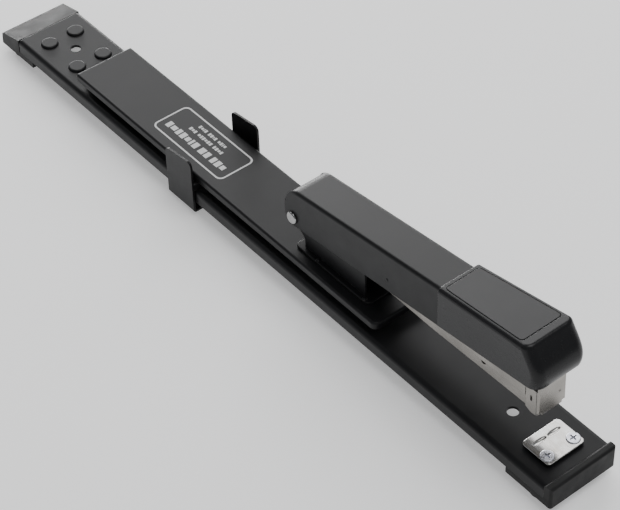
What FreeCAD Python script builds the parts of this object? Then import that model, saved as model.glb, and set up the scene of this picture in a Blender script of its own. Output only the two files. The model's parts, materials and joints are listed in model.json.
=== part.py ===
"""Long reach stapler, an all-metal desk stapler with a 310 mm throat.

Millimetres, +Z up. +X points from the rear end cap towards the anvil, and the
origin is on the table, midway along the base and between its two sides.
A station is a distance along the base, measured forward from its rear end.
The pressing head (magazine, cover and handle) is drawn in its own head frame:
u runs forward from the hinge pin, w runs up from it, y is the same as Y.
"""
import FreeCAD, Part
import math
import os

from FreeCAD import Vector

# ---- driving dimensions -------------------------------------------------
overall_length = 434.0
base_width = 40.0

foot_height = 4.5          # rubber feet, below the plastic end caps
cap_floor = 3.6            # end cap under the base rail's side edges
rail_height = 7.7
rail_wall = 1.5
rail_bend = 2.5
rear_cap_length = 17.2
front_cap_length = 4.5
tongue_length = 12.6       # rear cap under the rail
front_tongue_length = 24.2

arm_rear = 70.5
arm_front = 313.4
arm_half_width = 17.7
paper_gap = 4.4            # between the deck and the arm's side edges
arm_side_height = 4.0
arm_wall = 1.8

pin_station = 245.0
pin_height = 40.4
pin_radius = 2.5
running_clearance = 0.05

handle_half_width = 10.9
handle_wall = 1.0
bracket_half_gap = 8.5     # inner faces of the bracket's walls
bracket_wall = 1.1
cover_half_width = 8.2
cover_wall = 0.7
channel_half_width = 7.4
channel_wall = 0.9
magazine_tilt = 1.3        # degrees, nose up at rest

drive_radius = 165.2       # from the hinge pin to the middle of the driver blade
blade_thickness = 0.5
staple_width = 12.8
staple_leg = 6.6
staple_wire = 0.5
strip_length = 25.4

mount_hole_radius = 2.9
rear_mount_station = 43.3
front_mount_station = 388.3

# ---- derived levels and places ------------------------------------------
rail_bottom = foot_height + cap_floor
deck = rail_bottom + rail_height
deck_underside = deck - rail_wall
arm_edge = deck + paper_gap
arm_top = arm_edge + arm_side_height
arm_underside = arm_top - arm_wall
rail_rear = rear_cap_length + 0.1
rail_front = overall_length - front_cap_length - 0.1
half_base = base_width / 2
rail_inner = half_base - rail_wall
anvil_station = pin_station + drive_radius * math.cos(math.radians(magazine_tilt))


def station(distance):
    """X of a place given as a distance from the rear end of the base."""
    return distance - overall_length / 2


# ---- small geometry helpers ---------------------------------------------
def block(x0, x1, y0, y1, z0, z1):
    """Box between two corners."""
    return Part.makeBox(x1 - x0, y1 - y0, z1 - z0, Vector(x0, y0, z0))


def slab(s0, s1, half_width, z0, z1):
    """Box between two stations, centred on Y = 0."""
    return block(station(s0), station(s1), -half_width, half_width, z0, z1)


def post(s, y, z0, z1, radius):
    """Upright cylinder at a station."""
    return Part.makeCylinder(radius, z1 - z0, Vector(station(s), y, z0))


def cross_rod(u, w, y0, y1, radius):
    """Cylinder along Y in the head frame."""
    return Part.makeCylinder(radius, y1 - y0, Vector(u, y0, w), Vector(0, 1, 0))


def prism_y(points, y0, y1):
    """Polygon in the X-Z plane, pushed along Y from y0 to y1."""
    corners = [Vector(x, y0, z) for x, z in points]
    face = Part.Face(Part.makePolygon(corners + corners[:1]))
    return face.extrude(Vector(0, y1 - y0, 0))


def face_of(edges):
    """Flat face inside a closed run of edges."""
    return Part.Face(Part.Wire(edges))


def line(a, b):
    return Part.LineSegment(Vector(*a), Vector(*b)).toShape()


def arc(a, through, b):
    return Part.Arc(Vector(*a), Vector(*through), Vector(*b)).toShape()


def soften(shape, radius, chosen):
    """Fillet every edge that chosen() picks."""
    edges = [edge for edge in shape.Edges if chosen(edge)]
    return shape.makeFillet(radius, edges)


def runs_along(edge, axis):
    """True for a straight edge parallel to axis, 0 for X, 1 for Y and 2 for Z."""
    if edge.Curve.TypeId != "Part::GeomLine":
        return False
    start, end = edge.Vertexes[0].Point, edge.Vertexes[-1].Point
    span = [abs(end[i] - start[i]) for i in range(3)]
    return span[axis] > 1e-6 and all(span[i] < 1e-6 for i in range(3) if i != axis)


def middle(edge):
    return edge.BoundBox.Center


def in_end_face(edge, x, lowest):
    """True for an edge of the end face at x, above the height lowest."""
    box = edge.BoundBox
    return box.XLength < 0.01 and abs(box.XMin - x) < 0.05 and box.Center.z > lowest


def hexagon(s, y, z0, z1, across_flats):
    """Upright hexagonal prism at a station."""
    radius = across_flats / math.sqrt(3)
    angles = [math.radians(60 * i) for i in range(7)]
    ring = [Vector(station(s) + radius * math.cos(a), y + radius * math.sin(a), z0) for a in angles]
    return Part.Face(Part.makePolygon(ring)).extrude(Vector(0, 0, z1 - z0))


def dome(s, y, z, radius, height):
    """Round rivet head standing on z, the cap of a sphere."""
    ball = (radius ** 2 + height ** 2) / (2 * height)
    sphere = Part.makeSphere(ball, Vector(station(s), y, z + height - ball))
    return sphere.common(post(s, y, z, z + height, radius + 1))


def tube_z(x, y, z0, z1, outer, inner):
    """Upright tube, the envelope of a coil spring."""
    body = Part.makeCylinder(outer, z1 - z0, Vector(x, y, z0))
    return body.cut(Part.makeCylinder(inner, z1 - z0, Vector(x, y, z0)))


def place_head(shape, tilt=0.0):
    """Move a piece from the head frame to its place, nose up by tilt degrees."""
    moved = shape.copy()
    moved.rotate(Vector(0, 0, 0), Vector(0, 1, 0), -tilt)
    moved.translate(Vector(station(pin_station), 0, pin_height))
    return moved


# ---- base ----------------------------------------------------------------
boss_stations = (30.9, 57.0)
boss_y = 8.4
boss_radius = 4.8
boss_height = 1.2
rolled_edge = 0.9          # rounding of the sheet's rear edges
riser_screw_stations = (77.5, 90.5)
anvil_screw_station = 418.7
anvil_screw_y = 8.0
screw_m4 = 2.0
screw_m3 = 1.5


def make_base_rail():
    """Long inverted channel with embossed bosses and two mounting holes."""
    rail = slab(rail_rear, rail_front, half_base, rail_bottom, deck)
    rail = soften(rail, rail_bend, lambda e: runs_along(e, 0) and middle(e).z > deck - 0.1)
    rail = soften(rail, rolled_edge, lambda e: in_end_face(e, station(rail_rear), rail_bottom + 0.1))
    hollow = slab(rail_rear - 1, rail_front + 1, rail_inner, rail_bottom - 1, deck_underside)
    hollow = soften(hollow, rail_bend - rail_wall,
                    lambda e: runs_along(e, 0) and middle(e).z > deck_underside - 0.1)
    rail = rail.cut(hollow)
    for s in boss_stations:
        for y in (-boss_y, boss_y):
            boss = post(s, y, deck_underside + 0.2, deck + boss_height, boss_radius)
            rim = deck + boss_height - 0.1
            boss = soften(boss, 1.1, lambda e: middle(e).z > rim)
            rail = rail.fuse(boss)
            rail = rail.cut(post(s, y, rail_bottom, deck + boss_height - rail_wall,
                                 boss_radius - rail_wall))
    for s in (rear_mount_station, front_mount_station):
        rail = rail.cut(post(s, 0, rail_bottom, deck + 1, mount_hole_radius))
    for s in riser_screw_stations:
        rail = rail.cut(post(s, 0, rail_bottom, deck + 1, screw_m4 + 0.1))
    for y in (-anvil_screw_y, anvil_screw_y):
        rail = rail.cut(post(anvil_screw_station, y, rail_bottom, deck + 1, screw_m3 + 0.1))
    return rail


plug_half_width = rail_inner - 0.1
cap_top_drop = 3.6         # how far the rear cap's top slopes down to the rear


def make_rear_end_cap():
    """Plastic cap with a sloping top, a strip under the rail and a plug inside it."""
    top = deck - 0.3
    side = [(0, foot_height), (rear_cap_length, foot_height),
            (rear_cap_length, top), (0.6, top - cap_top_drop)]
    cap = prism_y([(station(s), z) for s, z in side], -half_base, half_base)
    cap = soften(cap, 1.8, lambda e: runs_along(e, 1) and middle(e).x < station(1)
                 and middle(e).z > foot_height + 1)
    tongue_end = rear_cap_length + tongue_length
    cap = cap.fuse(slab(rear_cap_length - 1, tongue_end, half_base, foot_height, rail_bottom - 0.1))
    plug = slab(rear_cap_length - 1, tongue_end, plug_half_width, foot_height, deck_underside - 0.1)
    plug = soften(plug, rail_bend, lambda e: runs_along(e, 0) and middle(e).z > deck_underside - 0.2)
    cap = cap.fuse(plug).removeSplitter()
    for y in (-boss_y, boss_y):
        cap = cap.cut(post(boss_stations[0], y, rail_bottom, deck, boss_radius + 0.3))
    return cap


lip_rise = 1.2             # front cap above the deck
plug_rail_width = 5.5


def make_front_end_cap():
    """Plastic cap with a raised lip, a strip under the rail and two side plugs."""
    start = overall_length - front_cap_length
    lip = slab(start, overall_length, half_base, foot_height, deck + lip_rise)
    lip = soften(lip, 1.4, lambda e: runs_along(e, 1) and middle(e).z > deck
                 or runs_along(e, 2) and middle(e).x > station(overall_length) - 0.1)
    tongue_start = start - front_tongue_length
    cap = lip.fuse(slab(tongue_start, start + 1, half_base, foot_height, rail_bottom - 0.1))
    for side in (-1, 1):
        inner = side * (plug_half_width - plug_rail_width)
        outer = side * plug_half_width
        plug = block(station(tongue_start), station(start + 1), min(inner, outer),
                     max(inner, outer), foot_height, deck_underside - 0.1)
        cap = cap.fuse(soften(plug, rail_bend, lambda e: runs_along(e, 0)
                              and middle(e).z > deck_underside - 0.2
                              and abs(middle(e).y) > plug_half_width - 0.1))
    return cap.removeSplitter()


foot_radius = 6.0
foot_y = 12.0
rear_foot_station = 10.0
front_foot_station = 421.0


def make_feet(s):
    """Pair of round rubber feet with a chamfered sole, at one end."""
    feet = []
    for y in (-foot_y, foot_y):
        foot = post(s, y, 0, foot_height, foot_radius)
        sole = [e for e in foot.Edges if e.Curve.TypeId == "Part::GeomCircle" and middle(e).z < 0.1]
        feet.append(foot.makeChamfer(0.7, sole))
    return Part.makeCompound(feet)


# ---- long arm on its riser -----------------------------------------------
riser_half_width = 13.5
riser_rear = 71.0
riser_front = 97.0
bracket_rivet_stations = (263.8, 298.0)
bracket_rivet_y = 10.9
rivet_radius = 1.2


def make_arm_riser():
    """Steel block that lifts the arm off the deck, tapped from below."""
    riser = slab(riser_rear, riser_front, riser_half_width, deck, arm_underside)
    riser = soften(riser, 2.0, lambda e: runs_along(e, 2))
    for s in riser_screw_stations:
        riser = riser.cut(post(s, 0, deck, arm_underside - 0.8, screw_m4))
    return riser


def make_riser_screws():
    """Two pan head screws, up through the deck into the riser."""
    screws = []
    for s in riser_screw_stations:
        head_top = deck_underside - 0.8
        head = post(s, 0, head_top - 2.6, head_top, 3.6)
        head = soften(head, 1.2, lambda e: middle(e).z < head_top - 2.5)
        shank = post(s, 0, head_top - 0.1, arm_underside - 1.2, screw_m4)
        slot = block(station(s) - 5, station(s) + 5, -0.5, 0.5, head_top - 3, head_top - 1.6)
        screws.append(head.fuse(shank).cut(slot))
    return Part.makeCompound(screws)


def make_riser_washers():
    """Flat washer under each riser screw's head."""
    return Part.makeCompound([
        tube_z(station(s), 0, deck_underside - 0.8, deck_underside, 4.2, screw_m4 + 0.1)
        for s in riser_screw_stations])


def make_long_arm():
    """Inverted channel that reaches forward over the deck, folded down at its front."""
    arm = slab(arm_rear, arm_front, arm_half_width, arm_edge, arm_top)
    front = station(arm_front) - 0.1
    arm = soften(arm, 3.5, lambda e: runs_along(e, 2) and middle(e).x > front)
    arm = soften(arm, 1.2, lambda e: middle(e).z > arm_top - 0.1)
    arm = soften(arm, rolled_edge, lambda e: in_end_face(e, station(arm_rear), arm_edge + 0.1))
    hollow = slab(arm_rear - 1, arm_front - arm_wall, arm_half_width - arm_wall,
                  arm_edge - 1, arm_underside)
    arm = arm.cut(hollow)
    for s in bracket_rivet_stations:
        for y in (-bracket_rivet_y, bracket_rivet_y):
            arm = arm.cut(post(s, y, arm_edge, arm_top + 1, rivet_radius))
    return arm


# ---- hinge bracket and pin -----------------------------------------------
bracket_plate_rear = 247.5
bracket_plate_front = 302.0
bracket_plate_half_width = 12.3
bracket_plate = 1.5
bracket_outer = bracket_half_gap + bracket_wall
eye_radius = 5.6


def bracket_wall_face(y):
    """Side wall: straight front edge, rear edge curving back to the pin eye."""
    plate_top = arm_top + 0.5
    x0, x1 = station(252.4), station(296.6)
    eye = (station(pin_station), pin_height)
    low = (x0, y, plate_top)
    neck = (x0, y, 30.2)
    bend = (station(250.6), y, 32.6)
    eye_low = (eye[0] + 0.6, y, eye[1] - eye_radius)
    eye_back = (eye[0] - eye_radius, y, eye[1])
    eye_top = (eye[0] + 0.6, y, eye[1] + eye_radius)
    front_top = (x1, y, pin_height + 3.0)
    front_low = (x1, y, plate_top)
    return face_of([line(low, neck), arc(neck, bend, eye_low), arc(eye_low, eye_back, eye_top),
                    line(eye_top, front_top), line(front_top, front_low), line(front_low, low)])


def make_pivot_bracket():
    """Base plate riveted to the arm, with two walls that carry the hinge pin."""
    plate = slab(bracket_plate_rear, bracket_plate_front, bracket_plate_half_width,
                 arm_top, arm_top + bracket_plate)
    plate = soften(plate, 3.0, lambda e: runs_along(e, 2))
    plate = soften(plate, 0.5, lambda e: middle(e).z > arm_top + bracket_plate - 0.1)
    bracket = plate
    for y in (-bracket_outer, bracket_half_gap):
        bracket = bracket.fuse(bracket_wall_face(y).extrude(Vector(0, bracket_wall, 0)))
    pin_hole = Part.makeCylinder(pin_radius, 40, Vector(station(pin_station), -20, pin_height),
                                 Vector(0, 1, 0))
    bracket = bracket.cut(pin_hole)
    for s in bracket_rivet_stations:
        for y in (-bracket_rivet_y, bracket_rivet_y):
            bracket = bracket.cut(post(s, y, arm_top - 1, arm_top + 3, rivet_radius))
    return bracket.removeSplitter()


def make_bracket_rivets():
    """Four round head rivets through the bracket's plate and the arm."""
    rivets = []
    plate_top = arm_top + bracket_plate
    for s in bracket_rivet_stations:
        for y in (-bracket_rivet_y, bracket_rivet_y):
            rivet = post(s, y, arm_underside - 0.2, plate_top + 0.2, rivet_radius)
            rivet = rivet.fuse(dome(s, y, plate_top, 1.35, 0.7))
            rivet = rivet.fuse(post(s, y, arm_underside - 0.6, arm_underside, 1.9))
            rivets.append(rivet)
    return Part.makeCompound(rivets)


pin_head_radius = 3.5
pin_head = 1.3


def make_pivot_pin():
    """Hinge pin with a domed head outside each side of the handle."""
    reach = handle_half_width + 0.1
    x, z = station(pin_station), pin_height
    pin = Part.makeCylinder(pin_radius, 2 * reach, Vector(x, -reach, z), Vector(0, 1, 0))
    for side in (-1, 1):
        head = Part.makeCylinder(pin_head_radius, pin_head, Vector(x, side * reach, z),
                                 Vector(0, side, 0))
        rim = reach + pin_head - 0.1
        head = soften(head, 0.9, lambda e: abs(middle(e).y) > rim)
        pin = pin.fuse(head)
    return pin


# ---- anvil -----------------------------------------------------------------
anvil_rear = 405.3
anvil_front = 423.3
anvil_half_width = 11.4
anvil_lift = 0.9
anvil_plate = 1.2
anvil_top = deck + anvil_lift + anvil_plate
groove_half_length = 4.0
groove_half_width = 1.3
groove_depth = 0.85
anvil_screw_head = 0.55


def make_anvil_spacer():
    """Plain plate that stands the anvil off the deck."""
    spacer = slab(anvil_rear + 1.2, anvil_front - 1.2, anvil_half_width - 1.2, deck, deck + anvil_lift)
    for y in (-anvil_screw_y, anvil_screw_y):
        spacer = spacer.cut(post(anvil_screw_station, y, deck, anvil_top, screw_m3 + 0.1))
    return spacer


def crimp_groove(side):
    """Oval trough that turns one staple leg inwards."""
    trough = Part.makeSphere(1.0)
    shape = FreeCAD.Matrix()
    shape.scale(groove_half_width, groove_half_length, groove_depth)
    trough = trough.transformGeometry(shape)
    trough.translate(Vector(station(anvil_station), side * (groove_half_length + 0.3), anvil_top))
    return trough


def make_anvil_plate():
    """Polished plate with two crimping grooves and two screw holes."""
    plate = slab(anvil_rear, anvil_front, anvil_half_width, deck + anvil_lift, anvil_top)
    plate = soften(plate, 2.2, lambda e: runs_along(e, 2))
    plate = soften(plate, 0.35, lambda e: middle(e).z > anvil_top - 0.1)
    for side in (-1, 1):
        plate = plate.cut(crimp_groove(side))
        plate = plate.cut(post(anvil_screw_station, side * anvil_screw_y, deck, anvil_top + 1,
                               screw_m3 + 0.1))
    return plate


def make_anvil_screws():
    """Two cross recess screws that clamp the anvil to the deck."""
    screws = []
    for y in (-anvil_screw_y, anvil_screw_y):
        head = post(anvil_screw_station, y, anvil_top, anvil_top + anvil_screw_head, 3.4)
        head = soften(head, 0.4, lambda e: middle(e).z > anvil_top + anvil_screw_head - 0.1)
        screw = head.fuse(post(anvil_screw_station, y, 10.8, anvil_top + 0.2, screw_m3))
        x = station(anvil_screw_station)
        for long_x, long_y in ((1.9, 0.38), (0.38, 1.9)):
            screw = screw.cut(block(x - long_x, x + long_x, y - long_y, y + long_y,
                                    anvil_top - 0.6, anvil_top + 2))
        screws.append(screw)
    return Part.makeCompound(screws)


def make_anvil_nuts():
    """Hexagon nuts under the deck."""
    nuts = []
    for y in (-anvil_screw_y, anvil_screw_y):
        nut = hexagon(anvil_screw_station, y, deck_underside - 2.4, deck_underside, 5.5)
        nuts.append(nut.cut(post(anvil_screw_station, y, 5, deck, screw_m3)))
    return Part.makeCompound(nuts)


# ---- sliding paper guide ---------------------------------------------------
guide_rear = 155.7
guide_front = 177.0
guide_wall = 1.2
guide_inner = half_base + 0.4
guide_floor = 1.7
ear_top_rear = 32.1
ear_top_front = 34.8
stop_reach = 6.4           # the stops' length into the paper gap


def make_paper_guide():
    """Strip under the base with two upright ears, each with a stop over the deck."""
    outer = guide_inner + guide_wall
    x0, x1 = station(guide_rear), station(guide_front)
    side = [(x0, guide_floor), (x1, guide_floor), (x1, ear_top_front), (x0, ear_top_rear)]
    guide = prism_y(side, -outer, outer)
    guide = soften(guide, 1.8, lambda e: runs_along(e, 0) and middle(e).z < guide_floor + 0.1)
    guide = soften(guide, 3.0, lambda e: runs_along(e, 1) and middle(e).z > ear_top_rear - 0.5)
    guide = guide.cut(block(x0 - 1, x1 + 1, -guide_inner, guide_inner, guide_floor + guide_wall, 60))
    for side in (-1, 1):
        y_in, y_out = side * (guide_inner - stop_reach), side * (guide_inner + 0.2)
        stop = block(x1 - guide_wall, x1, min(y_in, y_out), max(y_in, y_out), deck + 0.3, arm_edge - 0.4)
        stop = soften(stop, 1.2, lambda e: runs_along(e, 0) and abs(middle(e).y) < guide_inner - 1)
        guide = guide.fuse(stop)
    return guide.removeSplitter()


# ---- magazine --------------------------------------------------------------
floor_low = -3.2           # underside of the channel
channel_high = 7.2
channel_front = 164.3
skirt_start = 58.0         # where the channel's sides begin to hang below its floor
skirt_full = 95.0
skirt_drop = 2.2
nose_rear = 158.5
plate_inner = 165.75
plate_outer = 166.75
nose_low = -6.9
nose_high = 8.0            # top of the cheeks
plate_high = 11.0
press_angle = 6.7          # degrees, from rest until the nose meets the anvil
blade_inner = drive_radius - blade_thickness / 2
blade_outer = drive_radius + blade_thickness / 2


def pin_bore():
    """Running bore round the hinge pin."""
    return cross_rod(0, 0, -20, 20, pin_radius + running_clearance)


def make_magazine_channel():
    """Open topped channel that holds the staples, hinged at its rear."""
    outer = block(-3.6, channel_front, -channel_half_width, channel_half_width, floor_low, channel_high)
    outer = soften(outer, 3.0, lambda e: runs_along(e, 1) and middle(e).x < -3)
    inside = channel_half_width - channel_wall
    skirt = [(skirt_start, floor_low + 1), (skirt_start, floor_low), (skirt_full, floor_low - skirt_drop + 0.4),
             (channel_front, floor_low - skirt_drop), (channel_front, floor_low + 1)]
    skirts = prism_y(skirt, -channel_half_width, channel_half_width)
    skirts = skirts.cut(block(skirt_start - 1, channel_front + 1, -inside, inside, -20, 20))
    channel = outer.fuse(skirts).removeSplitter()
    channel = channel.cut(block(-5, channel_front + 1, -inside, inside,
                                floor_low + channel_wall, channel_high + 1))
    channel = channel.cut(cross_rod(130.5, 0.0, -20, 20, 1.6))
    return place_head(channel.cut(pin_bore()), magazine_tilt)


def make_nose_plate():
    """Front plate of the magazine with cheeks that grip the channel's sides."""
    cheek_in, cheek_out = channel_half_width, channel_half_width + 0.8
    heel = nose_rear + 3.4
    flat_on_anvil = math.tan(math.radians(press_angle - magazine_tilt))
    toe_low = nose_low + flat_on_anvil * (plate_outer - heel)
    side = [(nose_rear, nose_high), (nose_rear, nose_low + 1.6), (heel, nose_low), (plate_outer, toe_low),
            (plate_outer, plate_high), (plate_inner, plate_high), (plate_inner, nose_high)]
    nose = prism_y(side, -cheek_out, cheek_out)
    nose = soften(nose, 0.6, lambda e: runs_along(e, 2) and middle(e).x > plate_outer - 0.1)
    nose = nose.cut(block(nose_rear - 1, plate_inner, -cheek_in, cheek_in, nose_low - 1, nose_high + 1))
    for y in (-10.0, 10.0):
        nose = nose.cut(block(161.3, 162.5, y - 3, y + 3, 0.4, 3.6))
    for side_y in (-1, 1):
        nose = nose.cut(Part.makeSphere(0.8, Vector(plate_outer + 0.35, side_y * 4.4, 1.9)))
        y_in, y_out = side_y * (cheek_out - 0.4), side_y * (cheek_out + 1)
        nose = nose.cut(block(plate_inner - 0.75, plate_inner - 0.45, min(y_in, y_out),
                              max(y_in, y_out), nose_low - 1, nose_high + 1))
    for y in (-cheek_out, cheek_out):
        notch = block(plate_inner - 0.2, plate_outer + 1, y - 2.2, y + 2.2, nose_low - 1, nose_low + 1.8)
        nose = nose.cut(notch)
    return place_head(nose, magazine_tilt)


rod_u0 = 14.0
rod_u1 = 163.6
rod_w = 0.9
rod_radius = 1.2
anchor_thickness = 1.4


def make_rod_anchor():
    """Plate across the channel that holds the rear end of the guide rod."""
    inside = channel_half_width - channel_wall
    anchor = block(rod_u0, rod_u0 + anchor_thickness, -inside, inside, floor_low + channel_wall, 5.4)
    return place_head(anchor.cut(Part.makeCylinder(rod_radius, 10, Vector(rod_u0 - 5, 0, rod_w),
                                                   Vector(1, 0, 0))), magazine_tilt)


def make_guide_rod():
    """Rod that the pusher and its spring run on."""
    rod = Part.makeCylinder(rod_radius, rod_u1 - rod_u0, Vector(rod_u0, 0, rod_w), Vector(1, 0, 0))
    rod = soften(rod, 0.4, lambda e: middle(e).x > rod_u1 - 0.1)
    return place_head(rod, magazine_tilt)


strip_front = channel_front - 0.1
strip_rear = strip_front - strip_length
pusher_length = 13.0
pusher_front = strip_rear - 0.1
pusher_rear = pusher_front - pusher_length


def make_staple_strip():
    """Strip of glued staples, legs down, astride the rod."""
    low = floor_low + channel_wall + 0.05
    half = staple_width / 2
    strip = block(strip_rear, strip_front, -half, half, low, low + staple_leg)
    strip = soften(strip, 0.5, lambda e: runs_along(e, 0) and middle(e).z > low + 1)
    inner = half - staple_wire
    strip = strip.cut(block(strip_rear - 1, strip_front + 1, -inner, inner,
                            low - 1, low + staple_leg - staple_wire))
    return place_head(strip, magazine_tilt)


def make_staple_pusher():
    """Sliding block behind the staples, bored for the rod."""
    low = floor_low + channel_wall + 0.1
    half = channel_half_width - channel_wall - 0.2
    pusher = block(pusher_rear, pusher_front, -half, half, low, low + staple_leg - 0.3)
    pusher = soften(pusher, 0.8, lambda e: runs_along(e, 1) and middle(e).x < pusher_rear + 0.1)
    relief = block(pusher_rear + 3, pusher_front - 3, -half - 1, half + 1, low + 4.4, low + 10)
    pusher = pusher.cut(relief)
    bore = Part.makeCylinder(rod_radius + running_clearance, 30, Vector(pusher_rear - 5, 0, rod_w),
                             Vector(1, 0, 0))
    return place_head(pusher.cut(bore), magazine_tilt)


spring_outer = 2.6
spring_inner = 1.9


def make_pusher_spring():
    """Envelope of the long coil spring between the anchor and the pusher."""
    start = rod_u0 + anchor_thickness + 0.1
    length = pusher_rear - 0.1 - start
    tube = Part.makeCylinder(spring_outer, length, Vector(start, 0, rod_w), Vector(1, 0, 0))
    tube = tube.cut(Part.makeCylinder(spring_inner, length, Vector(start, 0, rod_w), Vector(1, 0, 0)))
    return place_head(tube, magazine_tilt)


lift_spring_u = 36.0
lift_spring_radius = 4.2
lift_spring_wire = 0.9


def make_lift_spring():
    """Envelope of the coil that lifts the magazine off the anvil."""
    x = station(pin_station + lift_spring_u)
    top = pin_height + floor_low + (lift_spring_u - lift_spring_radius) * math.tan(
        math.radians(magazine_tilt)) - 0.1
    return tube_z(x, 0, arm_top + bracket_plate, top, lift_spring_radius,
                  lift_spring_radius - lift_spring_wire)


# ---- magazine cover ----------------------------------------------------------
cover_front = 158.1
cover_tip = 164.3
cover_low = 1.0
cover_high = 9.2


def make_magazine_cover():
    """Inverted channel that closes the magazine and lifts for loading."""
    outer = block(-4.0, cover_front, -cover_half_width, cover_half_width, cover_low, cover_high)
    outer = soften(outer, 1.2, lambda e: runs_along(e, 0) and middle(e).z > cover_high - 0.1)
    eye = cross_rod(0, 0, -cover_half_width, cover_half_width, 4.0)
    neck = block(-4.0, 12.0, -cover_half_width, cover_half_width, -0.5, cover_low + 1)
    cover = outer.fuse(eye).fuse(neck).removeSplitter()
    inside = cover_half_width - cover_wall
    cover = cover.cut(block(-6, cover_front + 1, -inside, inside, -6, cover_high - cover_wall))
    tip = block(cover_front - 8, cover_tip, -6.2, 6.2, cover_high - cover_wall, cover_high)
    cover = cover.fuse(tip).removeSplitter()
    return place_head(cover.cut(pin_bore()), magazine_tilt)


# ---- handle --------------------------------------------------------------------
top_rear = (2.0, 17.7)     # u, w of the handle's top line at its rear
top_slope = 0.128
low_rear = (1.5, -4.9)
low_slope = 0.118
rounding_start = 4.0       # where the top line meets the rear rounding
shell_front = 158.0
shell_step = 107.0         # where the shell goes inside the nose cap
inner_rise = 6.2           # how much higher its lower edge is there


def handle_top(u):
    return top_rear[1] + top_slope * (u - top_rear[0])


def handle_low(u):
    return low_rear[1] + low_slope * (u - low_rear[0])


def handle_side(y):
    """Side view of the handle shell, rounded round the hinge pin."""
    step_low = (shell_step, y, handle_low(shell_step))
    step_high = (shell_step, y, handle_low(shell_step) + inner_rise)
    front_low = (shell_front, y, handle_low(shell_front) + inner_rise)
    front_top = (shell_front, y, handle_top(shell_front))
    rear_top = (rounding_start, y, handle_top(rounding_start))
    back_high = (-5.9, y, 8.5)
    back_low = (-5.9, y, 0.6)
    rear_low = (low_rear[0], y, low_rear[1])
    return face_of([line(rear_low, step_low), line(step_low, step_high), line(step_high, front_low),
                    line(front_low, front_top), line(front_top, rear_top),
                    arc(rear_top, (-2.5, y, 14.86), back_high), line(back_high, back_low),
                    arc(back_low, (-3.9, y, -3.7), rear_low)])


def make_handle_shell():
    """Stamped shell of the handle, open below and at its rear."""
    width = handle_half_width
    shell = handle_side(-width).extrude(Vector(0, 2 * width, 0))

    def top_edge(edge):
        centre = middle(edge)
        return abs(abs(centre.y) - width) < 0.1 and centre.z > 16 and edge.BoundBox.YLength < 0.1
    shell = soften(shell, 1.8, lambda e: top_edge(e) and e.BoundBox.XLength > 50)
    hollow = prism_y([(-20, -20), (-20, handle_top(-20) - handle_wall),
                      (shell_front + 1, handle_top(shell_front + 1) - handle_wall),
                      (shell_front + 1, -20)], -width + handle_wall, width - handle_wall)
    shell = shell.cut(hollow).cut(pin_bore())
    for side in (-1, 1):
        bump = Part.makeSphere(1.6, Vector(69.0, side * (width - 1.25), 9.8))
        shell = shell.fuse(bump.common(block(60, 80, min(side * width, side * (width + 1)),
                                             max(side * width, side * (width + 1)), 0, 20)))
    return place_head(shell, 0)


cap_rear = 105.0
cap_half_width = 12.8      # at its rear; it widens towards the front
cap_front_half_width = 14.8
cap_wall = 1.3
cap_corner = 5.0           # plan radius of its two front corners
cap_top_rounding = 2.4
cap_top_rear = 32.5
cap_top_slope = 0.157
cap_low_rear = 9.9
cap_low_slope = 0.165
cap_front_line = [(8.0, 169.4), (20.0, 170.6), (26.0, 171.7), (29.0, 171.1), (35.0, 167.6),
                  (43.0, 162.4), (51.0, 157.2)]   # height w and how far forward the front is there


def cap_top(u):
    return cap_top_rear + cap_top_slope * (u - cap_rear)


def cap_low(u):
    return cap_low_rear + cap_low_slope * (u - cap_rear)


def cap_section(w, front):
    """Level outline of the nose cap at height w, with rounded front corners."""
    ring = [(cap_rear - 1, -cap_half_width), (front, -cap_front_half_width),
            (front, cap_front_half_width), (cap_rear - 1, cap_half_width)]
    corners = [Vector(u, y, w) for u, y in ring]
    plate = Part.Face(Part.makePolygon(corners + corners[:1])).extrude(Vector(0, 0, 1))
    plate = soften(plate, cap_corner, lambda e: runs_along(e, 2) and middle(e).x > cap_rear)
    level = [face for face in plate.Faces if face.BoundBox.ZMax < w + 0.01]
    return level[0].OuterWire


def cap_hollow():
    """Side view of the space inside the cap, which the handle shell fills at the rear."""
    rear, shell_end = cap_rear - 1, shell_front + 0.4
    return [(rear, -5), (rear, handle_top(rear) + 0.1), (shell_end, handle_top(shell_end) + 0.1),
            (161.6, 39.2), (169.0, 28.2), (169.2, 24.0), (168.0, 12.0), (168.0, -5)]


panel_rear = 107.4
panel_front = 157.8
panel_half_rear = 10.1
panel_half_front = 11.9
panel_depth = 0.6
panel_gap = 0.3
panel_proud = 0.1


def panel_block(grow, low, high):
    """Tapered plate parallel to the cap's top; low and high are measured from that top."""
    u0, u1 = panel_rear - grow, panel_front + grow
    half0, half1 = panel_half_rear + grow, panel_half_front + grow
    ring = [(u0, -half0), (u1, -half1), (u1, half1), (u0, half0)]
    corners = [Vector(u, y, cap_top(u) + low) for u, y in ring]
    face = Part.Face(Part.makePolygon(corners + corners[:1]))
    plate = face.extrude(Vector(0, 0, high - low))
    return soften(plate, 2.0 + grow, lambda e: runs_along(e, 2))


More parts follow.
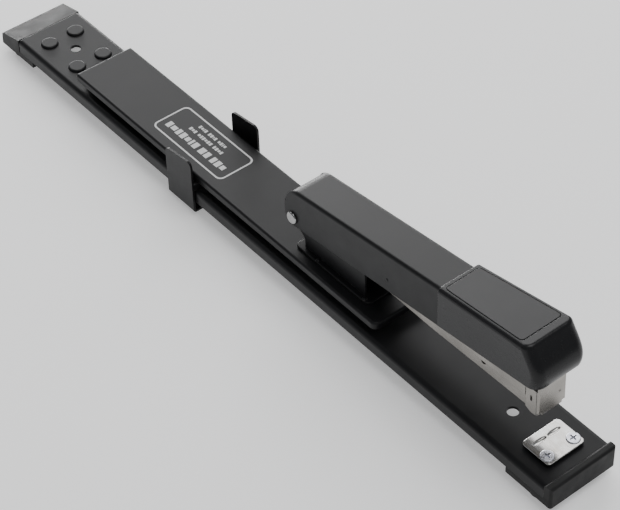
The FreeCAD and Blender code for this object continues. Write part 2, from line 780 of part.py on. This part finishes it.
def make_nose_cap():
    """Moulded cap over the front of the handle, with a recess for its top panel."""
    body = Part.makeLoft([cap_section(w, front) for w, front in cap_front_line], True)
    far = 180.0
    body = body.common(prism_y([(cap_rear, cap_low(cap_rear)), (cap_rear, cap_top(cap_rear)),
                                (far, cap_top(far)), (far, cap_low(far))], -20, 20))

    def top_edge(edge):
        on_top = all(abs(v.Z - cap_top(v.X)) < 0.05 for v in edge.Vertexes)
        return on_top and middle(edge).x > cap_rear + 1
    cap = soften(body, cap_top_rounding, top_edge)
    cap = soften(cap, 0.7, lambda e: in_end_face(e, cap_rear, cap_top(cap_rear) - 4))
    inner_half = cap_half_width - cap_wall - 0.2
    hollow = prism_y(cap_hollow(), -inner_half, inner_half)

    def inner_corner(edge):
        return (abs(abs(middle(edge).y) - inner_half) < 0.1 and edge.BoundBox.YLength < 0.1
                and middle(edge).x > 165.0 and middle(edge).z > -5)
    hollow = soften(hollow, 3.0, inner_corner)
    cap = cap.cut(hollow).cut(panel_block(panel_gap, -panel_depth, 2.0))
    return place_head(cap, 0)


def make_cap_panel():
    """Inlaid plate on top of the nose cap."""
    panel = panel_block(0, -panel_depth, panel_proud)
    panel = soften(panel, 0.25, lambda e: middle(e).z > cap_top(middle(e).x) + panel_proud - 0.05)
    return place_head(panel, 0)


# ---- driver --------------------------------------------------------------------
blade_low = 8.7            # just above the first staple at rest
blade_high = 34.5
blade_half_width = 6.3
holder_half_width = 6.0
holder_rear = 144.0
holder_low = 25.2
driver_rivet_y = 3.0
driver_rivet_w = 29.6


def make_driver_blade():
    """Thin blade bent to an arc about the hinge pin, so that it slides along itself."""
    ring = cross_rod(0, 0, -blade_half_width, blade_half_width, blade_outer)
    ring = ring.cut(cross_rod(0, 0, -blade_half_width, blade_half_width, blade_inner))
    blade = ring.common(block(150, 170, -20, 20, blade_low, blade_high))
    for y in (-driver_rivet_y, driver_rivet_y):
        blade = blade.cut(Part.makeCylinder(1.0, 30, Vector(150, y, driver_rivet_w), Vector(1, 0, 0)))
    return place_head(blade, 0)


def make_driver_holder():
    """Block under the handle's top that carries the blade."""
    high = handle_top(holder_rear) - handle_wall - 0.05
    holder = block(holder_rear, 170, -holder_half_width, holder_half_width, holder_low, high)
    holder = holder.common(cross_rod(0, 0, -20, 20, blade_inner))
    relief_front = holder_rear + 8
    holder = holder.cut(block(holder_rear - 1, relief_front, -3.5, 3.5, holder_low - 1, high - 3))
    for y in (-driver_rivet_y, driver_rivet_y):
        holder = holder.cut(Part.makeCylinder(1.0, 30, Vector(150, y, driver_rivet_w), Vector(1, 0, 0)))
    return place_head(holder, 0)


def make_driver_rivets():
    """Two rivets that fix the blade to its holder."""
    rivets = []
    face = math.sqrt(blade_outer ** 2 - driver_rivet_w ** 2)
    for y in (-driver_rivet_y, driver_rivet_y):
        shank = Part.makeCylinder(1.0, 10.5, Vector(face - 10, y, driver_rivet_w), Vector(1, 0, 0))
        head = Part.makeCylinder(1.8, 0.7, Vector(face + 0.4, y, driver_rivet_w), Vector(1, 0, 0))
        rivets.append(shank.fuse(head))
    return place_head(Part.makeCompound(rivets), 0)


return_spring_u = 122.0
return_spring_radius = 4.6
return_spring_wire = 1.0


def make_return_spring():
    """Envelope of the coil that lifts the handle off the magazine cover."""
    x = station(pin_station + return_spring_u)
    rise = (return_spring_u + return_spring_radius) * math.tan(math.radians(magazine_tilt))
    low = pin_height + cover_high + rise + 0.1
    high = pin_height + handle_top(return_spring_u - return_spring_radius) - handle_wall - 0.2
    return tube_z(x, 0, low, high, return_spring_radius, return_spring_radius - return_spring_wire)


# ---- write one STEP file per sub-part -------------------------------------------
def main():
    sub_parts = {
        "base_rail": make_base_rail(),
        "rear_end_cap": make_rear_end_cap(),
        "front_end_cap": make_front_end_cap(),
        "rear_feet": make_feet(rear_foot_station),
        "front_feet": make_feet(front_foot_station),
        "arm_riser": make_arm_riser(),
        "riser_screws": make_riser_screws(),
        "riser_washers": make_riser_washers(),
        "long_arm": make_long_arm(),
        "pivot_bracket": make_pivot_bracket(),
        "bracket_rivets": make_bracket_rivets(),
        "pivot_pin": make_pivot_pin(),
        "anvil_spacer": make_anvil_spacer(),
        "anvil_plate": make_anvil_plate(),
        "anvil_screws": make_anvil_screws(),
        "anvil_nuts": make_anvil_nuts(),
        "paper_guide": make_paper_guide(),
        "magazine_channel": make_magazine_channel(),
        "nose_plate": make_nose_plate(),
        "rod_anchor": make_rod_anchor(),
        "guide_rod": make_guide_rod(),
        "staple_strip": make_staple_strip(),
        "staple_pusher": make_staple_pusher(),
        "pusher_spring": make_pusher_spring(),
        "lift_spring": make_lift_spring(),
        "magazine_cover": make_magazine_cover(),
        "handle_shell": make_handle_shell(),
        "nose_cap": make_nose_cap(),
        "cap_panel": make_cap_panel(),
        "driver_blade": make_driver_blade(),
        "driver_holder": make_driver_holder(),
        "driver_rivets": make_driver_rivets(),
        "return_spring": make_return_spring(),
    }
    os.makedirs("parts", exist_ok=True)
    for name, shape in sub_parts.items():
        box = shape.BoundBox
        if not shape.isValid():
            print("not valid:", name)
        print(f"{name:18s} solids {len(shape.Solids)} volume {shape.Volume:10.1f}"
              f"  x {box.XMin:7.1f} {box.XMax:7.1f}  y {box.YMin:6.1f} {box.YMax:6.1f}"
              f"  z {box.ZMin:5.1f} {box.ZMax:5.1f}")
        shape.exportStep(f"parts/{name}.step")


main()
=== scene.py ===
"""Looks for the long reach stapler: materials, wire springs, staples, a plain label and the studio."""

import json
import math

import bmesh
import bpy
from mathutils import Matrix, Vector


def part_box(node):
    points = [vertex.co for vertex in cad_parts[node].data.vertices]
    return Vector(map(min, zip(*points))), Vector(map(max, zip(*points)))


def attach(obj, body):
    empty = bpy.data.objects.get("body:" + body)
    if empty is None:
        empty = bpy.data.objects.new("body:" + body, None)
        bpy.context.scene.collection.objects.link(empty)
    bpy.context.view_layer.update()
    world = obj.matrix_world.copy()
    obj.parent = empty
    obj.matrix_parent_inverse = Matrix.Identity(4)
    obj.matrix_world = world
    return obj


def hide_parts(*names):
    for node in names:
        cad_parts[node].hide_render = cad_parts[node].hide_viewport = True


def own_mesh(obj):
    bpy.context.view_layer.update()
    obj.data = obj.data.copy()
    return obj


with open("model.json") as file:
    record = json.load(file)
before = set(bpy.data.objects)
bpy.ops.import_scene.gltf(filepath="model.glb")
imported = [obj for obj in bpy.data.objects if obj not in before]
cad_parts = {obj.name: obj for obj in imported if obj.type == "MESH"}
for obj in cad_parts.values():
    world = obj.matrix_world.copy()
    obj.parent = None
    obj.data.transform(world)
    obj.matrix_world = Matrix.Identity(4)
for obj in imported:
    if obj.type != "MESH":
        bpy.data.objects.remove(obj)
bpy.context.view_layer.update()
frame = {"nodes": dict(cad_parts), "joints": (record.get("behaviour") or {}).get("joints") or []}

MM = 0.001
nodes = frame["nodes"]
joints = {joint["name"]: joint for joint in frame["joints"]}
hinge = Vector(joints["magazine_hinge"]["pos_m"])
forward = Vector(joints["pusher_slide"]["axis"]).normalized()   # along the tilted magazine
upward = forward.cross(Vector((0, 1, 0))).normalized()
side = Vector((0, 1, 0))


# ---- shader helpers -------------------------------------------------------
class Surface:
    """One procedural material, with short calls that add and link its nodes."""

    def __init__(self, name, metallic=0.0, specular=0.5, coat=0.0, coat_roughness=0.1):
        self.material = bpy.data.materials.new(name)
        self.material.use_nodes = True
        self.tree = self.material.node_tree
        self.shader = self.tree.nodes["Principled BSDF"]
        self.shader.inputs["Metallic"].default_value = metallic
        self.shader.inputs["Specular IOR Level"].default_value = specular
        self.shader.inputs["Coat Weight"].default_value = coat
        self.shader.inputs["Coat Roughness"].default_value = coat_roughness
        self.place = self.add("ShaderNodeTexCoord").outputs["Object"]
        self.normal = None

    def add(self, kind, **settings):
        node = self.tree.nodes.new(kind)
        for key, value in settings.items():
            setattr(node, key, value)
        return node

    def feed(self, socket, value):
        """Link an output to a socket, or set the socket to a plain value."""
        if isinstance(value, bpy.types.NodeSocket):
            self.tree.links.new(value, socket)
        else:
            socket.default_value = value

    def noise(self, size, detail=2.0, stretch=(1, 1, 1), rough=0.5):
        """Cloudy pattern whose features are about size metres across."""
        mapping = self.add("ShaderNodeMapping")
        self.feed(mapping.inputs["Vector"], self.place)
        mapping.inputs["Scale"].default_value = stretch
        noise = self.add("ShaderNodeTexNoise")
        self.feed(noise.inputs["Vector"], mapping.outputs["Vector"])
        noise.inputs["Scale"].default_value = 1.0 / size
        noise.inputs["Detail"].default_value = detail
        noise.inputs["Roughness"].default_value = rough
        return noise.outputs["Fac"]

    def remap(self, value, low, high, start=0.3, end=0.7):
        """Stretch a pattern's start..end to low..high."""
        node = self.add("ShaderNodeMapRange")
        self.feed(node.inputs["Value"], value)
        node.inputs["From Min"].default_value = start
        node.inputs["From Max"].default_value = end
        node.inputs["To Min"].default_value = low
        node.inputs["To Max"].default_value = high
        return node.outputs["Result"]

    def maths(self, operation, a, b):
        node = self.add("ShaderNodeMath", operation=operation)
        self.feed(node.inputs[0], a)
        self.feed(node.inputs[1], b)
        return node.outputs["Value"]

    def blend(self, amount, first, second):
        """Colour between first and second."""
        node = self.add("ShaderNodeMix", data_type="RGBA")
        self.feed(node.inputs["Factor"], amount)
        self.feed(node.inputs["A"], first)
        self.feed(node.inputs["B"], second)
        return node.outputs["Result"]

    def soft_edges(self, radius):
        """Round the shading of sharp edges by radius."""
        bevel = self.add("ShaderNodeBevel", samples=4)
        bevel.inputs["Radius"].default_value = radius
        self.normal = bevel.outputs["Normal"]

    def edges(self, radius):
        """1 on sharp edges, inner ones too, and 0 on flat faces."""
        bevel = self.add("ShaderNodeBevel", samples=4)
        bevel.inputs["Radius"].default_value = radius
        true_normal = self.add("ShaderNodeNewGeometry").outputs["Normal"]
        dot = self.add("ShaderNodeVectorMath", operation="DOT_PRODUCT")
        self.feed(dot.inputs[0], bevel.outputs["Normal"])
        self.feed(dot.inputs[1], true_normal)
        return self.remap(dot.outputs["Value"], 1.0, 0.0, 0.80, 0.985)

    def bump(self, height, depth):
        """Relief of depth metres on top of the normal so far."""
        node = self.add("ShaderNodeBump")
        node.inputs["Distance"].default_value = depth
        self.feed(node.inputs["Height"], height)
        if self.normal is not None:
            self.feed(node.inputs["Normal"], self.normal)
        self.normal = node.outputs["Normal"]

    def finish(self, color, roughness):
        self.feed(self.shader.inputs["Base Color"], color)
        self.feed(self.shader.inputs["Roughness"], roughness)
        if self.normal is not None:
            self.feed(self.shader.inputs["Normal"], self.normal)
        return self.material


def grey(value, tint=(1.0, 1.0, 1.0)):
    return (value * tint[0], value * tint[1], value * tint[2], 1.0)


COOL = (0.97, 0.98, 1.06)
WARM = (1.05, 1.0, 0.93)


# ---- materials ----------------------------------------------------------------
def black_paint():
    """Baked satin enamel: faint orange peel, handling marks, and thin lighter edges that are partly wear
    and partly a painted highlight.
    """
    s = Surface("satin_black_enamel", specular=0.18)
    s.soft_edges(0.25 * MM)
    s.bump(s.noise(1.6 * MM, 2.0), 0.010 * MM)
    s.bump(s.noise(0.22 * MM, 1.0), 0.0016 * MM)
    cloud = s.noise(45 * MM, 3.0)
    marks = s.noise(9 * MM, 5.0, rough=0.65)
    color = s.blend(s.remap(cloud, 0.0, 1.0), grey(0.008, COOL), grey(0.012, COOL))
    # Lighter warm grey on every edge: partly paint rubbed thin, partly a painted highlight for the bright
    # edge lines.
    edge_highlight_and_wear = s.maths("MULTIPLY", s.edges(0.45 * MM), s.remap(s.noise(3.5 * MM, 4.0), 0.0, 1.0, 0.45, 0.75))
    color = s.blend(s.maths("MULTIPLY", edge_highlight_and_wear, 0.75), color, grey(0.16, WARM))
    roughness = s.maths("ADD", s.remap(marks, 0.33, 0.41), s.remap(cloud, -0.02, 0.02))
    return s.finish(color, roughness)


def moulded_plastic():
    """End cap plastic with a fine spark-eroded texture."""
    s = Surface("moulded_black_plastic", specular=0.18)
    s.soft_edges(0.35 * MM)
    s.bump(s.noise(0.35 * MM, 3.0), 0.020 * MM)
    cloud = s.noise(20 * MM, 3.0)
    color = s.blend(s.remap(cloud, 0.0, 1.0), grey(0.009), grey(0.015))
    scuffs = s.maths("MULTIPLY", s.edges(0.8 * MM), s.remap(s.noise(2.5 * MM, 4.0), 0.0, 0.5, 0.4, 0.7))
    color = s.blend(scuffs, color, grey(0.07))
    return s.finish(color, s.remap(s.noise(6 * MM, 4.0), 0.46, 0.58))


def gloss_plastic():
    """Polished moulding with a soft ripple and fine rubbed marks."""
    s = Surface("gloss_black_plastic", specular=0.19, coat=0.04, coat_roughness=0.08)
    s.soft_edges(0.30 * MM)
    s.bump(s.noise(7 * MM, 1.0), 0.030 * MM)
    s.bump(s.noise(0.5 * MM, 2.0), 0.0015 * MM)
    color = s.blend(s.remap(s.noise(30 * MM, 2.0), 0.0, 1.0), grey(0.010, COOL), grey(0.014, COOL))
    rubbed = s.noise(2.2 * MM, 6.0, stretch=(0.25, 1, 1), rough=0.7)
    return s.finish(color, s.remap(rubbed, 0.20, 0.30))


def panel_plastic():
    """Inlaid panel, a little less glossy than the cap round it."""
    s = Surface("satin_panel_plastic", specular=0.20)
    s.soft_edges(0.20 * MM)
    s.bump(s.noise(0.30 * MM, 2.0), 0.0035 * MM)
    color = s.blend(s.remap(s.noise(25 * MM, 2.0), 0.0, 1.0), grey(0.009, COOL), grey(0.013, COOL))
    return s.finish(color, s.remap(s.noise(5 * MM, 5.0, rough=0.65), 0.30, 0.40))


def foot_rubber():
    """Dull rubber with a dusty bloom."""
    s = Surface("foot_rubber", specular=0.3)
    s.soft_edges(0.30 * MM)
    s.bump(s.noise(0.30 * MM, 3.0), 0.030 * MM)
    color = s.blend(s.remap(s.noise(4 * MM, 5.0), 0.0, 1.0), grey(0.014), grey(0.035))
    return s.finish(color, s.remap(s.noise(3 * MM, 3.0), 0.75, 0.9))


def drawn_steel(name, value, tint, low, high, depth=0.004, stretch=(0.03, 1, 1)):
    """Steel with draw lines, soft stains and lighter rubbed edges."""
    s = Surface(name, metallic=1.0)
    s.soft_edges(0.20 * MM)
    lines = s.noise(0.16 * MM, 3.0, stretch=stretch, rough=0.6)
    s.bump(lines, depth * MM)
    stain = s.noise(12 * MM, 4.0)
    color = s.blend(s.remap(stain, 0.0, 1.0), grey(value, tint), grey(value * 0.80, tint))
    color = s.blend(s.maths("MULTIPLY", s.edges(0.3 * MM), 0.6), color, grey(min(value * 1.35, 0.92)))
    roughness = s.maths("ADD", s.remap(lines, low, high), s.remap(stain, -0.03, 0.03))
    return s.finish(color, roughness)


def polished_plate():
    """Nickelled anvil: bright, crossed by fine random scratches both ways."""
    s = Surface("polished_anvil", metallic=1.0)
    s.soft_edges(0.20 * MM)
    along = s.noise(0.20 * MM, 2.0, stretch=(0.05, 1, 1))
    across = s.noise(0.30 * MM, 2.0, stretch=(1, 0.05, 1))
    s.bump(s.maths("ADD", along, across), 0.0022 * MM)
    color = s.blend(s.remap(s.noise(6 * MM, 4.0), 0.0, 1.0), grey(0.50), grey(0.38, WARM))
    return s.finish(color, s.remap(along, 0.12, 0.22))


def bright_metal(name, value, tint=(1, 1, 1), low=0.10, high=0.20):
    """Plated small part with slight haze."""
    s = Surface(name, metallic=1.0)
    s.soft_edges(0.15 * MM)
    s.bump(s.noise(0.4 * MM, 3.0), 0.003 * MM)
    haze = s.noise(1.5 * MM, 4.0)
    color = s.blend(s.remap(haze, 0.0, 1.0), grey(value, tint), grey(value * 0.85, tint))
    return s.finish(color, s.remap(haze, low, high))


def print_ink():
    """Silver-grey screen print, thin and slightly patchy."""
    s = Surface("silver_print", specular=0.4)
    patchy = s.noise(0.6 * MM, 4.0)
    color = s.blend(s.remap(patchy, 0.0, 1.0), grey(0.50), grey(0.66))
    s.bump(patchy, 0.004 * MM)
    return s.finish(color, s.remap(s.noise(2 * MM, 2.0), 0.45, 0.6))


def floor_paper():
    """Pale seamless studio paper, with a faint glow that keeps it even."""
    s = Surface("pale_paper", specular=0.15)
    s.bump(s.noise(1.5 * MM, 3.0), 0.05 * MM)
    color = s.blend(s.remap(s.noise(400 * MM, 2.0), 0.0, 1.0), grey(0.86), grey(0.88))
    s.shader.inputs["Emission Color"].default_value = (1, 1, 1, 1)
    s.shader.inputs["Emission Strength"].default_value = 0.35
    return s.finish(color, s.remap(s.noise(30 * MM, 2.0), 0.8, 0.9))


paint = black_paint()
magazine_steel = drawn_steel("magazine_steel", 0.32, WARM, 0.20, 0.34)
spring_wire = drawn_steel("spring_wire", 0.50, (1, 1, 1), 0.22, 0.34, stretch=(1, 1, 1))
staple_steel = drawn_steel("staple_steel", 0.72, (1, 1, 1), 0.18, 0.28)
dark_steel = drawn_steel("dark_steel", 0.24, (1, 1, 1), 0.30, 0.45)
nickel = bright_metal("nickel_plate", 0.36)
zinc = bright_metal("zinc_plate", 0.66, COOL, 0.20, 0.34)

finishes = {
    paint: ["base_rail", "long_arm", "arm_riser", "pivot_bracket", "handle_shell", "paper_guide",
            "bracket_rivets"],
    moulded_plastic(): ["rear_end_cap", "front_end_cap"],
    gloss_plastic(): ["nose_cap"],
    panel_plastic(): ["cap_panel"],
    foot_rubber(): ["rear_feet", "front_feet"],
    magazine_steel: ["magazine_channel", "magazine_cover", "nose_plate", "rod_anchor", "staple_pusher"],
    spring_wire: ["guide_rod", "driver_blade"],
    dark_steel: ["driver_holder", "anvil_spacer"],
    nickel: ["pivot_pin", "driver_rivets"],
    zinc: ["riser_screws", "riser_washers", "anvil_nuts", "anvil_screws"],
    polished_plate(): ["anvil_plate"],
}
for material, names in finishes.items():
    for name in names:
        for slot in nodes[name].material_slots:
            slot.material = material


# ---- mesh helpers ---------------------------------------------------------------
def new_piece(name, mesh_data, material, body, replaced=None):
    """Wrap a mesh as a piece that rides on a body."""
    mesh_data.materials.append(material)
    piece = bpy.data.objects.new(name, mesh_data)
    bpy.context.scene.collection.objects.link(piece)
    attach(piece, body)
    if replaced:
        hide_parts(replaced)
    return piece


def sweep(name, path, radius, sides=10):
    """Round wire along a list of points, with closed flat ends."""
    mesh = bmesh.new()
    rings = []
    reference = Vector((0.03, 1.0, 0.05)).normalized()
    for i, point in enumerate(path):
        ahead = path[min(i + 1, len(path) - 1)] - path[max(i - 1, 0)]
        ahead.normalize()
        across = (reference - ahead * reference.dot(ahead)).normalized()
        reference = across
        over = ahead.cross(across)
        ring = []
        for k in range(sides):
            turn = 2 * math.pi * k / sides
            ring.append(mesh.verts.new(point + (across * math.cos(turn) + over * math.sin(turn)) * radius))
        rings.append(ring)
    for first, second in zip(rings, rings[1:]):
        for k in range(sides):
            face = mesh.faces.new((first[k], first[(k + 1) % sides], second[(k + 1) % sides], second[k]))
            face.smooth = True
    mesh.faces.new(list(reversed(rings[0])))
    mesh.faces.new(rings[-1])
    mesh.normal_update()
    data = bpy.data.meshes.new(name)
    mesh.to_mesh(data)
    mesh.free()
    return data


def coil_path(start, axis, length, radius, wire, turns, steps=20):
    """Helix of length along axis, with one nearly closed turn at each end."""
    axis = axis.normalized()
    across = axis.orthogonal().normalized()
    over = axis.cross(across)
    closed = wire * 2.2         # rise of an end turn, just over the wire's own thickness
    run = length - 2 * closed - 2 * wire
    points = []
    total = int((turns + 2) * steps)
    for i in range(total + 1):
        t = i / steps
        if t < 1:
            rise = closed * t
        elif t > turns + 1:
            rise = closed + run + closed * (t - turns - 1)
        else:
            rise = closed + run * (t - 1) / turns
        turn = 2 * math.pi * t
        centre = start + axis * (wire + rise)
        points.append(centre + (across * math.cos(turn) + over * math.sin(turn)) * radius)
    return points


def magazine_box(name):
    """Extent of a CAD node along the tilted magazine, across it and up from the hinge pin."""
    spans = []
    for direction in (forward, side, upward):
        along = [(vertex.co - hinge).dot(direction) for vertex in nodes[name].data.vertices]
        spans.append((min(along), max(along)))
    return spans


def magazine_point(u, y, w):
    return hinge + forward * u + side * y + upward * w


# ---- springs ------------------------------------------------------------------------
def upright_spring(name, node, body, wire, turns):
    """Coil between its seat and the part above it."""
    low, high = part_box(node)
    outer = (high[1] - low[1]) / 2
    height = high[2] - low[2]
    seat = Vector(((low[0] + high[0]) / 2, 0, low[2]))
    path = coil_path(seat, Vector((0, 0, 1)), height, outer - wire, wire, turns)
    piece = new_piece(name, sweep(name, path, wire), spring_wire, body, node)
    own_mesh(piece)


upright_spring("lift_coil", "lift_spring", "base", 0.42 * MM, 5)
upright_spring("return_coil", "return_spring", "cover", 0.48 * MM, 7)


def pusher_coil():
    """Long coil on the guide rod behind the pusher."""
    (start, end), _, (low, high) = magazine_box("pusher_spring")
    wire = 0.33 * MM
    turns = 44
    length = end - start
    middle = (low + high) / 2
    outer = (high - low) / 2
    seat = magazine_point(start, 0, middle)
    path = coil_path(seat, forward, length, outer - wire, wire, turns, steps=14)
    piece = new_piece("pusher_coil", sweep("pusher_coil", path, wire, 8), spring_wire, "magazine",
                      "pusher_spring")
    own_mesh(piece)


pusher_coil()


# ---- staples -------------------------------------------------------------------------
def staple_outline(half, low, high, wire, corner=0.5 * MM, steps=4):
    """Outer then inner (y, w) points of one staple seen from the front."""
    outer = [(-half, low)]
    for k in range(steps + 1):
        turn = math.pi - k * math.pi / 2 / steps
        outer.append((-half + corner + corner * math.cos(turn), high - corner + corner * math.sin(turn)))
    outer += [(-y, w) for y, w in reversed(outer)]
    inner = [(y * (half - wire) / half, min(w, high - wire)) for y, w in outer]
    return outer, inner


def staple_row():
    """Glued strip of staples, each a separate bent wire."""
    (rear, front), (left, right), (low, high) = magazine_box("staple_strip")
    count = 50
    gap = 0.04              # of the pitch, left bare on each side of a staple
    wire = 0.5 * MM
    pitch = (front - rear) / count
    outer, inner = staple_outline((right - left) / 2, low, high, wire)
    mesh = bmesh.new()
    for i in range(count):
        u0 = rear + pitch * (i + gap)
        u1 = rear + pitch * (i + 1 - gap)
        rings = []
        for u in (u0, u1):
            rings.append([mesh.verts.new(magazine_point(u, y, w)) for y, w in outer + inner[::-1]])
        back, front_ring = rings
        size = len(back)
        for k in range(size):
            mesh.faces.new((back[k], back[(k + 1) % size], front_ring[(k + 1) % size], front_ring[k]))
        for k in range(size // 2 - 1):
            quad = (k, k + 1, size - 2 - k, size - 1 - k)
            mesh.faces.new([back[j] for j in reversed(quad)])
            mesh.faces.new([front_ring[j] for j in quad])
    bmesh.ops.recalc_face_normals(mesh, faces=mesh.faces)
    data = bpy.data.meshes.new("staple_row")
    mesh.to_mesh(data)
    mesh.free()
    new_piece("staple_row", data, staple_steel, "magazine", "staple_strip")


staple_row()


# ---- label ---------------------------------------------------------------------------
def rounded_ring(x0, x1, half, radius, steps=8):
    """Corner-rounded rectangle as (x, y) points."""
    centres = [(x1 - radius, half - radius, 0), (x0 + radius, half - radius, 90),
               (x0 + radius, -half + radius, 180), (x1 - radius, -half + radius, 270)]
    ring = []
    for cx, cy, start in centres:
        for k in range(steps + 1):
            turn = math.radians(start + 90 * k / steps)
            ring.append((cx + radius * math.cos(turn), cy + radius * math.sin(turn)))
    return ring


label_rear = 59.1 * MM          # from the arm's rear end
label_length = 57.1 * MM
label_half = 11.4 * MM
label_corner = 3.4 * MM
label_inner_corner = 2.7 * MM
label_line = 0.9 * MM
ink = 0.03 * MM
word_space = 1.3 * MM
block_trim = 0.14               # of a block's height, taken off its top and bottom
# middle, height, gap between blocks, and the blocks' widths (0 is a space), all in millimetres
label_rows = [
    (-4.3, 4.2, 0.9, (2.9, 3.4, 2.6, 3.1, 2.8, 1.6, 3.2, 0, 3.6, 3.0, 0, 2.7, 3.1, 2.8)),
    (2.0, 2.1, 0.5, (1.5, 1.3, 1.4, 0, 1.5, 1.3, 1.4, 1.3, 1.5, 1.4, 0, 1.3, 1.5, 1.4, 1.3)),
    (6.3, 2.1, 0.5, (1.3, 1.3, 0.6, 1.3, 0, 1.3, 1.4, 0.6, 1.3, 0, 1.3, 1.3, 0.6, 1.4)),
]


def print_layer(mesh, points, z):
    return [mesh.verts.new((x, y, z)) for x, y in points]


def print_frame(mesh, x0, x1, level):
    """Rounded outline of the label, a thin raised band."""
    outer_points = rounded_ring(x0, x1, label_half, label_corner)
    inner_points = rounded_ring(x0 + label_line, x1 - label_line, label_half - label_line,
                                label_inner_corner)
    outer, inner = [print_layer(mesh, points, level + ink) for points in (outer_points, inner_points)]
    outer_low, inner_low = [print_layer(mesh, points, level) for points in (outer_points, inner_points)]
    size = len(outer)
    for k in range(size):
        n = (k + 1) % size
        mesh.faces.new((outer[k], outer[n], inner[n], inner[k]))
        mesh.faces.new((outer_low[k], outer_low[n], outer[n], outer[k]))
        mesh.faces.new((inner_low[n], inner_low[k], inner[k], inner[n]))
        mesh.faces.new((outer_low[n], outer_low[k], inner_low[k], inner_low[n]))


def print_block(mesh, x0, x1, y0, y1, level):
    """One blank block, in the place of a letter."""
    corners = [(x0, y0), (x1, y0), (x1, y1), (x0, y1)]
    top, bottom = print_layer(mesh, corners, level + ink), print_layer(mesh, corners, level)
    mesh.faces.new(top)
    mesh.faces.new(list(reversed(bottom)))
    for k in range(4):
        n = (k + 1) % 4
        mesh.faces.new((bottom[k], bottom[n], top[n], top[k]))


def arm_label():
    """Plain printed frame with rows of blocks where the wording would be."""
    low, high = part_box("long_arm")
    level = high[2]
    x0 = low[0] + label_rear
    x1 = x0 + label_length
    mesh = bmesh.new()
    print_frame(mesh, x0, x1, level)
    for middle_mm, tall_mm, gap_mm, widths in label_rows:
        middle, tall, gap = middle_mm * MM, tall_mm * MM, gap_mm * MM
        total = sum(width * MM + gap if width else word_space for width in widths)
        x = (x0 + x1) / 2 - total / 2
        for k, width in enumerate(widths):
            if not width:
                x += word_space
                continue
            trim = tall * (block_trim if k % 3 == 1 else 0.0)       # some blocks are a little shorter
            print_block(mesh, x, x + width * MM, middle - tall / 2 + trim, middle + tall / 2 - trim, level)
            x += width * MM + gap
    mesh.normal_update()
    data = bpy.data.meshes.new("arm_label")
    mesh.to_mesh(data)
    mesh.free()
    new_piece("arm_label", data, print_ink(), "base")


arm_label()


# ---- studio --------------------------------------------------------------------------
def studio_floor():
    """Large flat sheet just under the object."""
    reach = 6.0
    drop = 0.2 * MM         # below the feet, so that the two never share a plane
    mesh = bmesh.new()
    corners = [(-reach, -reach), (reach, -reach), (reach, reach), (-reach, reach)]
    mesh.faces.new([mesh.verts.new((x, y, -drop)) for x, y in corners])
    data = bpy.data.meshes.new("studio_floor")
    mesh.to_mesh(data)
    mesh.free()
    data.materials.append(floor_paper())
    floor = bpy.data.objects.new("studio_floor", data)
    bpy.context.scene.collection.objects.link(floor)


def soft_light(name, place, aim, size, power, color=(1, 1, 1)):
    """Rectangular soft box at place, facing aim."""
    data = bpy.data.lights.new(name, "AREA")
    data.shape = "RECTANGLE"
    data.size, data.size_y = size
    data.energy = power
    data.color = color
    lamp = bpy.data.objects.new(name, data)
    lamp.location = place
    lamp.rotation_euler = (Vector(aim) - Vector(place)).to_track_quat("-Z", "Y").to_euler()
    bpy.context.scene.collection.objects.link(lamp)


def studio_lights():
    middle = (0.0, 0.0, 0.03)
    soft_light("rear_panel", (-1.35, 0.95, 1.20), middle, (2.2, 1.5), 34)
    soft_light("low_strip", (-2.4, 1.25, 0.30), middle, (1.6, 0.35), 48)
    soft_light("top_fill", (0.5, 0.4, 2.6), middle, (1.6, 1.6), 30)
    world = bpy.data.worlds.new("studio_world")
    world.use_nodes = True
    background = world.node_tree.nodes["Background"]
    background.inputs["Color"].default_value = (0.95, 0.97, 1.0, 1.0)
    background.inputs["Strength"].default_value = 0.30
    bpy.context.scene.world = world


camera_azimuth = 51.317         # degrees, from square on to the near side round towards the front
camera_elevation = 43.795
camera_roll = -1.385
camera_distance = 1.06085       # metres from the point it is aimed at
camera_aim = Vector((0.0298, 0.0120, 0.0086))


def photo_camera():
    """Long lens from high on the front right, looking back along the base."""
    azimuth, elevation = math.radians(camera_azimuth), math.radians(camera_elevation)
    back = Vector((math.sin(azimuth) * math.cos(elevation), -math.cos(azimuth) * math.cos(elevation),
                   math.sin(elevation)))
    right = Vector((math.cos(azimuth), math.sin(azimuth), 0))
    over = back.cross(right)
    turn = Matrix((right, over, back)).transposed()
    data = bpy.data.cameras.new("photo_camera")
    data.sensor_width = 36
    data.lens = 125.2
    data.shift_x = -0.0375
    data.shift_y = -0.0150
    data.clip_start = 0.05
    data.clip_end = 20
    camera = bpy.data.objects.new("photo_camera", data)
    spin = turn @ Matrix.Rotation(math.radians(camera_roll), 3, "Z")
    camera.matrix_world = Matrix.Translation(camera_aim + back * camera_distance) @ spin.to_4x4()
    bpy.context.scene.collection.objects.link(camera)
    bpy.context.scene.camera = camera


studio_floor()
studio_lights()
photo_camera()
